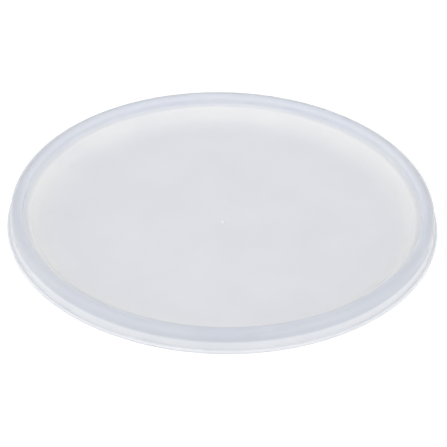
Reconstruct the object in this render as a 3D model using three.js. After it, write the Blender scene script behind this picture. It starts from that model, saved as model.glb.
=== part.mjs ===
// Press-on lid of a round foam food container: one thin-walled moulding, revolved about +Z.
// Millimetres, +Z up, with the origin at the centre of the circle that the lip stands on.

import * as THREE from 'three';

// The container's brim, which goes up into the hollow crown
const brimDiameter = 147.9;
const brimThickness = 2.5;
const brimClearance = 0.3;
const seatWidth = 0.7;

// Heights above the surface that the lid lies on
const overallHeight = 8.3;
const ledgeHeight = 4.9;
const panelClearance = 1.0;
const lipHeight = 1.0;

// The moulded wall and the section of the rim
const wall = 0.65;
const lipReach = 1.1;
const lipEdgeRound = 0.35;
const lipCreaseRound = 0.4;
const crownOuterRound = 2.6;
const crownInnerRound = 1.8;
const crownFootRound = 0.9;
const ledgeWidth = 2.4;
const ledgeRound = 1.2;
const plugAngle = 50;
const plugFootRound = 6;

// The snap bead inside the skirt, which catches under the brim
const beadHeight = 1.7;
const beadDepth = 0.6;
const beadRootWidth = 1.8;
const beadCrestWidth = 0.6;
const beadRound = 0.4;
const mouthChamfer = 0.35;

// The injection gate's mark at the centre of the panel
const gateDiameter = 2.0;
const gateHeight = 0.4;
const gateRound = 0.25;

// Facets: steps in a full turn, and the most that a chord may depart from its arc
const turnSteps = 80;
const chordTolerance = 0.05;

const samePoint = 1e-6;

// Radii and heights that follow from the sizes above
const skirtInnerRadius = brimDiameter / 2 + brimClearance;
const skirtOuterRadius = skirtInnerRadius + wall;
const lipRadius = skirtOuterRadius + lipReach;
const channelWidth = brimThickness + 2 * brimClearance;
const crownInnerRadius = skirtInnerRadius - channelWidth - wall;
const ledgeRadius = crownInnerRadius - ledgeWidth;
const panelTop = panelClearance + wall;
const plugRun = (ledgeHeight - panelTop) / Math.tan(THREE.MathUtils.degToRad(plugAngle));
const plugFootRadius = ledgeRadius - plugRun;

// A corner of the half section: its distance from the axis, its height and its rounding radius
function corner(radius, height, round = 0) {
  return { at: new THREE.Vector2(radius, height), round };
}

function direction(from, to) {
  return to.at.clone().sub(from.at).normalize();
}

// The corners of a skin that runs alongside another, to the right of its direction of travel
function offsetSkin(corners, distance) {
  return corners.map(({ at, round }, index) => {
    const before = index > 0 ? direction(corners[index - 1], corners[index]) : null;
    const after = index < corners.length - 1 ? direction(corners[index], corners[index + 1]) : null;
    const into = before ?? after;
    const out = after ?? before;
    const bisector = into.clone().add(out).normalize();
    const rightward = new THREE.Vector2(bisector.y, -bisector.x);
    const turnsLeft = into.cross(out) > 0;
    const moved = at.clone().addScaledVector(rightward, distance / bisector.dot(into));
    const newRound = turnsLeft ? round + distance : Math.max(round - distance, 0);
    return corner(moved.x, moved.y, round > 0 ? newRound : 0);
  });
}

// How far each rounding reaches along the legs beside it, shared out where two would meet
function roundingReach(corners) {
  const wanted = corners.map(({ round }, index) => {
    if (round === 0) return 0;
    const into = direction(corners[index - 1], corners[index]);
    const out = direction(corners[index], corners[index + 1]);
    return round * Math.tan(Math.acos(THREE.MathUtils.clamp(into.dot(out), -1, 1)) / 2);
  });
  const share = (first, second) => {
    const leg = corners[first].at.distanceTo(corners[second].at);
    return Math.min(1, leg / Math.max(wanted[first] + wanted[second], leg));
  };
  return wanted.map((reach, index) => {
    if (reach === 0) return 0;
    return reach * Math.min(share(index - 1, index), share(index, index + 1));
  });
}

// The half section as points, with an arc at each rounded corner
function roundedSection(corners) {
  const reach = roundingReach(corners);
  const points = corners.flatMap(({ at }, index) => {
    if (reach[index] === 0) return [at.clone()];
    const into = direction(corners[index - 1], corners[index]);
    const out = direction(corners[index], corners[index + 1]);
    const turn = Math.acos(THREE.MathUtils.clamp(into.dot(out), -1, 1));
    const radius = reach[index] / Math.tan(turn / 2);
    const side = Math.sign(into.cross(out));
    const start = at.clone().addScaledVector(into, -reach[index]);
    const centre = start.clone().add(new THREE.Vector2(-into.y, into.x).multiplyScalar(side * radius));
    const chordTurn = 2 * Math.acos(Math.max(1 - chordTolerance / radius, 0));
    const steps = Math.max(1, Math.ceil(turn / chordTurn));
    return Array.from({ length: steps + 1 }, (_, step) => {
      return start.clone().rotateAround(centre, (side * turn * step) / steps);
    });
  });
  return points.filter((point, index) => index === 0 || point.distanceTo(points[index - 1]) > samePoint);
}

// Top skin from the axis out: panel, plug wall, ledge, crown and skirt down to the lip
const topSkin = [
  corner(0, panelTop),
  corner(plugFootRadius, panelTop, plugFootRound),
  corner(ledgeRadius, ledgeHeight, ledgeRound),
  corner(crownInnerRadius, ledgeHeight, crownFootRound),
  corner(crownInnerRadius, overallHeight, crownInnerRound),
  corner(skirtOuterRadius, overallHeight, crownOuterRound),
  corner(skirtOuterRadius, lipHeight, lipCreaseRound),
];

// Underside, one wall thickness below, from the skirt in: the channel with its seat, the plug and the panel
const underSkin = offsetSkin(topSkin, wall).slice(0, -1).reverse();
const roofCorners = underSkin.slice(0, 2);
const roofSpare = channelWidth - seatWidth;
const roofRounds = roofCorners.reduce((sum, { round }) => sum + round, 0);
roofCorners.forEach((roof) => {
  roof.round *= Math.min(1, roofSpare / roofRounds);
});

const gateMark = [
  corner(0, panelTop + gateHeight),
  corner(gateDiameter / 2 - gateRound, panelTop + gateHeight, gateRound),
  corner(gateDiameter / 2, panelTop),
];

const peelLip = [
  corner(lipRadius, lipHeight, lipEdgeRound),
  corner(lipRadius, 0, lipEdgeRound),
  corner(skirtInnerRadius + mouthChamfer, 0),
  corner(skirtInnerRadius, mouthChamfer),
];

const snapBead = [
  corner(skirtInnerRadius, beadHeight - beadRootWidth / 2),
  corner(skirtInnerRadius - beadDepth, beadHeight - beadCrestWidth / 2, beadRound),
  corner(skirtInnerRadius - beadDepth, beadHeight + beadCrestWidth / 2, beadRound),
  corner(skirtInnerRadius, beadHeight + beadRootWidth / 2),
];

function makeLid() {
  const section = roundedSection([
    ...gateMark,
    ...topSkin.slice(1),
    ...peelLip,
    ...snapBead,
    ...underSkin,
  ]);
  const geometry = new THREE.LatheGeometry(section.reverse(), turnSteps);
  geometry.rotateX(Math.PI / 2);
  const material = new THREE.MeshStandardMaterial({ color: 0xdedfe4, roughness: 0.45, metalness: 0 });
  const lid = new THREE.Mesh(geometry, material);
  lid.name = 'container_lid';
  return lid;
}

const foodContainerLid = new THREE.Group();
foodContainerLid.add(makeLid());

export default foodContainerLid;
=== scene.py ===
import math

import bmesh
import bpy
from mathutils import Matrix, Vector


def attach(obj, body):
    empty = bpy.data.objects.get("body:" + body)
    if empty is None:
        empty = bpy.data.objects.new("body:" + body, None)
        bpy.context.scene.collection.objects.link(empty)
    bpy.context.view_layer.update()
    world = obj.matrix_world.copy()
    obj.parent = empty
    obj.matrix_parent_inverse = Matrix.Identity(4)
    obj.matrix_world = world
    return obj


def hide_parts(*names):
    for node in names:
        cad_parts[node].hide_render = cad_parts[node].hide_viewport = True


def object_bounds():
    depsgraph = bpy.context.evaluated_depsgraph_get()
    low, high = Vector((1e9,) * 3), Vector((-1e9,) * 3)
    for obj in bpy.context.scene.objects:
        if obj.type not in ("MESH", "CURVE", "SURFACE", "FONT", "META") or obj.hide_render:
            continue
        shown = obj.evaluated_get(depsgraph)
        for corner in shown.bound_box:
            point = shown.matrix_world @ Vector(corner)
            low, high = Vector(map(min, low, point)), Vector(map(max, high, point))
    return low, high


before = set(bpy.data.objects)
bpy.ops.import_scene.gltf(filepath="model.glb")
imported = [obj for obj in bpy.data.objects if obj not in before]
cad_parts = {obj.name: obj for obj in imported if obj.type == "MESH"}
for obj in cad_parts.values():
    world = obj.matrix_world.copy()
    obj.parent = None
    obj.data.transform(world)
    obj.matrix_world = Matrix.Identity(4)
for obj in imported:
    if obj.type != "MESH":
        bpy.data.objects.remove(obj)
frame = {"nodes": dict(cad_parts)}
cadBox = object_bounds()
mm = 0.001  # metres in a millimetre
tiny = 1e-6  # millimetres, within which two points are one
print("frame loaded:", ", ".join(frame["nodes"]))


def linearColour(hexText):  # sRGB hex to the linear RGBA that shaders take
    parts = [int(hexText[i:i + 2], 16) / 255 for i in (1, 3, 5)]
    return (*[c / 12.92 if c <= 0.04045 else ((c + 0.055) / 1.055) ** 2.4 for c in parts], 1.0)


def addNode(tree, kind, inputs=None, **settings):  # inputs are values or other nodes' outputs
    node = tree.nodes.new(kind)
    for name, value in settings.items():
        setattr(node, name, value)
    for name, value in (inputs or {}).items():
        if isinstance(value, bpy.types.NodeSocket):
            tree.links.new(value, node.inputs[name])
        else:
            node.inputs[name].default_value = value
    return node


def newMaterial(name):
    material = bpy.data.materials.new(name)
    material.use_nodes = True
    material.node_tree.nodes.clear()
    return material, material.node_tree


# camera: the photograph's angle, a long lens from a metre and a half
photoView = {
    "imageSize": 447,  # pixels, both ways
    "elevation": 35.13,  # degrees above the floor
    "roll": 1.28,  # degrees, anticlockwise, so the lid leans down to the right
    "distance": 1.52,  # metres from the lid's origin
    "pixelsPerRadius": 214.7,  # at the origin's distance
    "originPixel": (222.4, 225.4),  # where the lid's origin falls in the photograph
    "sensorWidth": 36,  # mm
    "nearest": 0.05,  # metres, in front of which nothing is drawn
    "farthest": 20,  # metres
}


def makeCamera(view, lidRadius):
    elevation, roll = math.radians(view["elevation"]), math.radians(view["roll"])
    back = Vector((0, -math.cos(elevation), math.sin(elevation)))
    level = Vector((1, 0, 0))
    upright = back.cross(level)
    right = level * math.cos(roll) + upright * math.sin(roll)
    up = upright * math.cos(roll) - level * math.sin(roll)
    pixel = lidRadius / view["pixelsPerRadius"]  # metres at the lid
    middle = view["imageSize"] / 2
    aside = right * (middle - view["originPixel"][0]) * pixel
    above = up * (view["originPixel"][1] - middle) * pixel
    camera = bpy.data.cameras.new("photo_camera")
    camera.sensor_width = view["sensorWidth"]
    camera.lens = camera.sensor_width * view["distance"] / (pixel * view["imageSize"])
    camera.clip_start, camera.clip_end = view["nearest"], view["farthest"]
    holder = bpy.data.objects.new("photo_camera", camera)
    bpy.context.collection.objects.link(holder)
    turned = Matrix((right, up, back)).transposed().to_4x4()
    holder.matrix_world = Matrix.Translation(aside + above + back * view["distance"]) @ turned
    bpy.context.scene.camera = holder


# lid: the moulding's half section, turned about the upright axis; sizes in millimetres
lidShape = {
    "wall": 0.65,
    "brimThickness": 2.5,  # of the container that the hollow crown goes over
    "brimClearance": 0.3,
    "seatWidth": 0.7,
    "lipReach": 1.1,
    "lipHeight": 1.0,
    "lipEdgeRound": 0.35,
    "lipCreaseRound": 0.4,
    "crownOuterRound": 2.6,
    "crownInnerRound": 1.8,
    "crownFootRound": 0.9,
    "ledgeHeight": 4.9,
    "ledgeWidth": 2.4,
    "ledgeRound": 1.2,
    "plugAngle": 50,  # degrees
    "plugFootRound": 6,
    "panelClearance": 1.0,
    "beadHeight": 1.7,
    "beadDepth": 0.6,
    "beadRootWidth": 1.8,
    "beadCrestWidth": 0.6,
    "beadRound": 0.4,
    "mouthChamfer": 0.35,
    "gateDiameter": 2.0,
    "gateHeight": 0.4,
    "gateRound": 0.25,
    "arcStep": 9,  # degrees, between the points of a rounding
    "panelStep": 8,  # between the panel's rings
    "turnSteps": 256,  # facets in a full turn
    "crispAngle": 25,  # degrees between facets, from which a moulded corner stays crisp
}


def offsetSkin(corners, distance):  # the corners one wall to the right of the way of travel
    points = [Vector(c[:2]) for c in corners]
    ways = [(b - a).normalized() for a, b in zip(points, points[1:])]
    moved = []
    for i, (r, z, rounding) in enumerate(corners):
        into, out = ways[max(i - 1, 0)], ways[min(i, len(ways) - 1)]
        bisector = (into + out).normalized()
        rightward = Vector((bisector.y, -bisector.x))
        place = Vector((r, z)) + rightward * distance / bisector.dot(into)
        grows = into.x * out.y - into.y * out.x > 0
        newRound = rounding + distance if grows else max(rounding - distance, 0)
        moved.append((place.x, place.y, newRound if rounding else 0))
    return moved


def roundedSection(corners, arcStep):  # an arc at each rounded corner
    points = []
    for i, (r, z, rounding) in enumerate(corners):
        at = Vector((r, z))
        if not rounding:
            points.append(at)
            continue
        into = (at - Vector(corners[i - 1][:2])).normalized()
        out = (Vector(corners[i + 1][:2]) - at).normalized()
        turn = into.angle(out)
        side = math.copysign(1, into.x * out.y - into.y * out.x)
        start = at - into * rounding * math.tan(turn / 2)
        centre = start + Vector((-into.y, into.x)) * side * rounding
        steps = max(2, math.ceil(turn / math.radians(arcStep)))
        for k in range(steps + 1):
            arm = start - centre
            arm.rotate(Matrix.Rotation(side * turn * k / steps, 2))
            points.append(centre + arm)
    return [p for i, p in enumerate(points) if i == 0 or (p - points[i - 1]).length > tiny]


def lidSection(s, lipRadius, height):
    skirt = lipRadius - s["lipReach"]
    inside = skirt - s["wall"]
    channel = s["brimThickness"] + 2 * s["brimClearance"]
    crownInner = inside - channel - s["wall"]
    ledge = crownInner - s["ledgeWidth"]
    panelTop = s["panelClearance"] + s["wall"]
    foot = ledge - (s["ledgeHeight"] - panelTop) / math.tan(math.radians(s["plugAngle"]))
    flat = foot - s["plugFootRound"] * math.tan(math.radians(s["plugAngle"] / 2))
    topSkin = [
        (0, panelTop, 0),
        (foot, panelTop, s["plugFootRound"]),
        (ledge, s["ledgeHeight"], s["ledgeRound"]),
        (crownInner, s["ledgeHeight"], s["crownFootRound"]),
        (crownInner, height, s["crownInnerRound"]),
        (skirt, height, s["crownOuterRound"]),
        (skirt, s["lipHeight"], s["lipCreaseRound"]),
    ]
    underSkin = offsetSkin(topSkin, s["wall"])[-2::-1]
    squeeze = (channel - s["seatWidth"]) / (underSkin[0][2] + underSkin[1][2])
    underSkin[:2] = [(r, z, rounding * squeeze) for r, z, rounding in underSkin[:2]]
    gate, gateTop = s["gateDiameter"] / 2, panelTop + s["gateHeight"]
    gateMark = [(0, gateTop, 0), (gate - s["gateRound"], gateTop, s["gateRound"]), (gate, panelTop, 0)]
    ringCount = int(flat / s["panelStep"])
    ringRadii = [flat * k / ringCount for k in range(1, ringCount)]
    peelLip = [
        (lipRadius, s["lipHeight"], s["lipEdgeRound"]),
        (lipRadius, 0, s["lipEdgeRound"]),
        (inside + s["mouthChamfer"], 0, 0),
        (inside, s["mouthChamfer"], 0),
    ]
    crest, root = s["beadCrestWidth"] / 2, s["beadRootWidth"] / 2
    snapBead = [
        (inside, s["beadHeight"] - root, 0),
        (inside - s["beadDepth"], s["beadHeight"] - crest, s["beadRound"]),
        (inside - s["beadDepth"], s["beadHeight"] + crest, s["beadRound"]),
        (inside, s["beadHeight"] + root, 0),
    ]
    corners = gateMark + [(r, panelTop, 0) for r in ringRadii] + topSkin[1:] + peelLip + snapBead
    corners += underSkin[:-1] + [(r, s["panelClearance"], 0) for r in ringRadii[::-1]] + underSkin[-1:]
    return roundedSection(corners, s["arcStep"])


def revolve(name, section, turnSteps, crispAngle):
    mesh = bmesh.new()
    turns = [2 * math.pi * k / turnSteps for k in range(turnSteps)]
    rings = []
    for r, z in section:
        spokes = turns if r > tiny else [0]
        places = [(r * mm * math.cos(a), r * mm * math.sin(a), z * mm) for a in spokes]
        rings.append([mesh.verts.new(place) for place in places])
    for ring, following in zip(rings, rings[1:]):
        for k in range(turnSteps):
            quad = [ring[k % len(ring)], following[k % len(following)]]
            quad += [following[(k + 1) % len(following)], ring[(k + 1) % len(ring)]]
            face = mesh.faces.new(list(dict.fromkeys(quad)))
            face.smooth = True
    bmesh.ops.recalc_face_normals(mesh, faces=mesh.faces)
    for edge in mesh.edges:
        edge.smooth = edge.calc_face_angle(0) < math.radians(crispAngle)
    data = bpy.data.meshes.new(name)
    mesh.to_mesh(data)
    mesh.free()
    piece = bpy.data.objects.new(name, data)
    bpy.context.collection.objects.link(piece)
    return piece


# low-density polyethylene, injection moulded thin: it lets light through but no picture, so the white
# ground under it keeps the panel and the skirt pale, while the hollow crown, with no ground close behind
# it, looks greyer and bluer; here that is painted into the colour, as painted shade on the crown and
# painted light on the plug wall; satin skin with a soft mould grain, and faintly cloudy as the melt flowed
lidPlastic = {
    "panelColour": "#f0f1f6",
    # the plug wall drawn paler than the panel: painted light, where the ground glows through it
    "wallPaintedLightColour": "#f8f9fc",
    # the crown drawn greyer and bluer: painted shade of its hollow, with no ground close behind it
    "crownPaintedShadeColour": "#ebeff8",
    "skirtColour": "#f1f3f7",
    "cloudColour": "#f6f6f8",
    "cloudSize": 22,  # mm
    "wallClear": 0.1,  # share of the light that goes straight through
    "crownClear": 0.31,  # the same, in the hollow crown
    "panelEdge": (55.0, 69.0),  # mm from the axis, over which the panel's colour turns into the wall's paler painted light
    "rimAcross": (68.2, 71.4),  # mm from the axis, over which the wall's colour turns into the rim's
    "clearAcross": (70.0, 73.6),  # mm from the axis, over which the crown turns clearer
    "crownUp": (3.6, 4.8),  # mm above the floor, over which the skirt turns into the crown and its painted shade
    "smoothest": 0.2,
    "roughest": 0.28,
    "roughnessSize": 6,  # mm, over which the skin goes from smoother to rougher
    "grainSize": 0.9,  # mm; the mould's own grain is nearer 0.3, drawn coarser so that it shows
    "grainDepth": 0.004,  # mm
    "waveSize": 16,  # mm, the panel's faint unevenness
    "waveDepth": 0.03,  # mm
    "refraction": 1.51,  # usual for polyethylene
    "bloom": 0.2,  # light that the skin gathers where it is seen edge on
    "bloomSpread": 0.3,
    "scatterDepth": 0.6,  # mm that light goes before it scatters
}


def makeLidPlastic(look):
    material, tree = newMaterial("satin_moulded_polyethylene")
    place = addNode(tree, "ShaderNodeTexCoord").outputs["Object"]
    noise = {}
    for name in ("cloudSize", "roughnessSize", "grainSize", "waveSize"):
        clouds = addNode(tree, "ShaderNodeTexNoise", {"Vector": place, "Scale": 1 / (look[name] * mm)})
        noise[name] = clouds.outputs["Fac"]
    across = addNode(tree, "ShaderNodeVectorMath", {0: place, 1: (1, 1, 0)}, operation="MULTIPLY")
    reach = addNode(tree, "ShaderNodeVectorMath", {0: across.outputs["Vector"]}, operation="LENGTH")
    radius = reach.outputs["Value"]  # from the axis
    height = addNode(tree, "ShaderNodeSeparateXYZ", {"Vector": place}).outputs["Z"]
    measures = {"panelEdge": radius, "rimAcross": radius, "clearAcross": radius, "crownUp": height}
    past = {}
    for name, measure in measures.items():
        step = addNode(
            tree,
            "ShaderNodeMapRange",
            {"Value": measure, "From Min": look[name][0] * mm, "From Max": look[name][1] * mm},
            interpolation_type="SMOOTHSTEP",
        )
        past[name] = step.outputs["Result"]
    # painted light: the plug wall paler than the panel, by its distance from the axis
    inner = addNode(
        tree,
        "ShaderNodeMixRGB",
        {
            "Fac": past["panelEdge"],
            "Color1": linearColour(look["panelColour"]),
            "Color2": linearColour(look["wallPaintedLightColour"]),
        },
    )
    # painted shade: the crown greyer and bluer than the skirt below it
    rim = addNode(
        tree,
        "ShaderNodeMixRGB",
        {
            "Fac": past["crownUp"],
            "Color1": linearColour(look["skirtColour"]),
            "Color2": linearColour(look["crownPaintedShadeColour"]),
        },
    )
    plain = addNode(
        tree,
        "ShaderNodeMixRGB",
        {"Fac": past["rimAcross"], "Color1": inner.outputs["Color"], "Color2": rim.outputs["Color"]},
    )
    colour = addNode(
        tree,
        "ShaderNodeMixRGB",
        {
            "Fac": noise["cloudSize"],
            "Color1": plain.outputs["Color"],
            "Color2": linearColour(look["cloudColour"]),
        },
        blend_type="MULTIPLY",
    )
    crown = addNode(
        tree,
        "ShaderNodeMath",
        {0: past["clearAcross"], 1: past["crownUp"]},
        operation="MULTIPLY",
    )
    clear = addNode(
        tree,
        "ShaderNodeMapRange",
        {"Value": crown.outputs["Value"], "To Min": look["wallClear"], "To Max": look["crownClear"]},
    )
    roughness = addNode(
        tree,
        "ShaderNodeMapRange",
        {"Value": noise["roughnessSize"], "To Min": look["smoothest"], "To Max": look["roughest"]},
    )
    wave = addNode(
        tree,
        "ShaderNodeBump",
        {"Height": noise["waveSize"], "Distance": look["waveDepth"] * mm},
    )
    grain = addNode(
        tree,
        "ShaderNodeBump",
        {
            "Height": noise["grainSize"],
            "Distance": look["grainDepth"] * mm,
            "Normal": wave.outputs["Normal"],
        },
    )
    shader = addNode(
        tree,
        "ShaderNodeBsdfPrincipled",
        {
            "Base Color": colour.outputs["Color"],
            "Roughness": roughness.outputs["Result"],
            "Normal": grain.outputs["Normal"],
            "Transmission Weight": clear.outputs["Result"],
            "IOR": look["refraction"],
            "Sheen Weight": look["bloom"],
            "Sheen Roughness": look["bloomSpread"],
            "Subsurface Weight": 1.0,
            "Subsurface Radius": (1.0, 1.0, 1.0),  # red, green and blue go equally far
            "Subsurface Scale": look["scatterDepth"] * mm,
        },
    )
    addNode(tree, "ShaderNodeOutputMaterial", {"Surface": shader.outputs["BSDF"]})
    return material


# studio: matt white paper in a white room, which reads as plain white and keeps the lid's soft shadow
studio = {
    "floorSize": 6.0,  # metres
    "floorDrop": 0.00005,  # metres under the lip
    "paper": "#f2f2f2",
    "paperLift": 0.24,  # light added where the paper is looked at, which takes it to white
    "skyLight": 0.615,  # of white
    "lampDistance": 1.7,  # metres
    "lampSize": 1.4,  # metres
    "lamps": {  # azimuth from +X towards +Y and elevation in degrees, power in watts
        "left_softbox": {"azimuth": 183, "elevation": 22, "power": 6.8},
        "left_front_softbox": {"azimuth": 225, "elevation": 25, "power": 6.8},
        "right_softbox": {"azimuth": 2, "elevation": 20, "power": 2.4},
        "right_front_softbox": {"azimuth": 330, "elevation": 25, "power": 9.8},
        "overhead_softbox": {"azimuth": 270, "elevation": 80, "power": 6.4},
    },
}


def lookedAt(tree):  # 1 where it is seen, also mirrored or through plastic, and 0 where it only gives light
    path = addNode(tree, "ShaderNodeLightPath")
    seen = path.outputs["Is Camera Ray"]
    for ray in ("Is Glossy Ray", "Is Transmission Ray"):
        either = addNode(tree, "ShaderNodeMath", {0: seen, 1: path.outputs[ray]}, operation="MAXIMUM")
        seen = either.outputs["Value"]
    return seen


def makeFloor(look):
    material, tree = newMaterial("matt_white_paper")
    lift = addNode(tree, "ShaderNodeMath", {0: lookedAt(tree), 1: look["paperLift"]}, operation="MULTIPLY")
    paper = addNode(tree, "ShaderNodeBsdfDiffuse", {"Color": linearColour(look["paper"])})
    glow = addNode(tree, "ShaderNodeEmission", {"Strength": lift.outputs[0]})
    both = addNode(tree, "ShaderNodeAddShader", {0: paper.outputs[0], 1: glow.outputs[0]})
    below = addNode(tree, "ShaderNodeNewGeometry").outputs["Backfacing"]  # clear from underneath
    clear = addNode(tree, "ShaderNodeBsdfTransparent")
    shown = addNode(tree, "ShaderNodeMixShader", {0: below, 1: both.outputs[0], 2: clear.outputs[0]})
    addNode(tree, "ShaderNodeOutputMaterial", {"Surface": shown.outputs[0]})
    half = look["floorSize"] / 2
    corners = [(-half, -half), (half, -half), (half, half), (-half, half)]
    data = bpy.data.meshes.new("floor")
    data.from_pydata([(x, y, cadBox[0].z - look["floorDrop"]) for x, y in corners], [], [(0, 1, 2, 3)])
    data.materials.append(material)
    floor = bpy.data.objects.new("floor", data)
    bpy.context.collection.objects.link(floor)


def makeLight(look):
    for name, lamp in look["lamps"].items():
        light = bpy.data.lights.new(name, "AREA")
        light.shape, light.size, light.energy = "SQUARE", look["lampSize"], lamp["power"]
        holder = bpy.data.objects.new(name, light)
        azimuth, elevation = math.radians(lamp["azimuth"]), math.radians(lamp["elevation"])
        flat = math.cos(elevation)
        away = Vector((flat * math.cos(azimuth), flat * math.sin(azimuth), math.sin(elevation)))
        holder.location = away * look["lampDistance"]
        holder.rotation_euler = (-away).to_track_quat("-Z", "Y").to_euler()
        holder.visible_camera = False
        holder.visible_glossy = False  # the skin mirrors only the white room
        bpy.context.collection.objects.link(holder)
    world = bpy.data.worlds.new("white_room")
    world.use_nodes = True
    tree = world.node_tree
    tree.nodes.clear()
    level = addNode(tree, "ShaderNodeMix", {"Factor": lookedAt(tree), "A": look["skyLight"], "B": 1.0})
    room = addNode(tree, "ShaderNodeBackground", {"Strength": level.outputs["Result"]})
    addNode(tree, "ShaderNodeOutputWorld", {"Surface": room.outputs[0]})
    bpy.context.scene.world = world


lidRadius = (cadBox[1].x - cadBox[0].x) / 2
lidHeight = cadBox[1].z - cadBox[0].z
makeCamera(photoView, lidRadius)
print("camera set")

section = lidSection(lidShape, lidRadius / mm, lidHeight / mm)
lid = revolve("moulded_lid", section, lidShape["turnSteps"], lidShape["crispAngle"])
lid.data.materials.append(makeLidPlastic(lidPlastic))
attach(lid, "root")
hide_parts("container_lid")
print("lid turned:", len(lid.data.polygons), "faces")

makeFloor(studio)
makeLight(studio)
bpy.context.scene.view_settings.view_transform = "Standard"
print("studio lit")
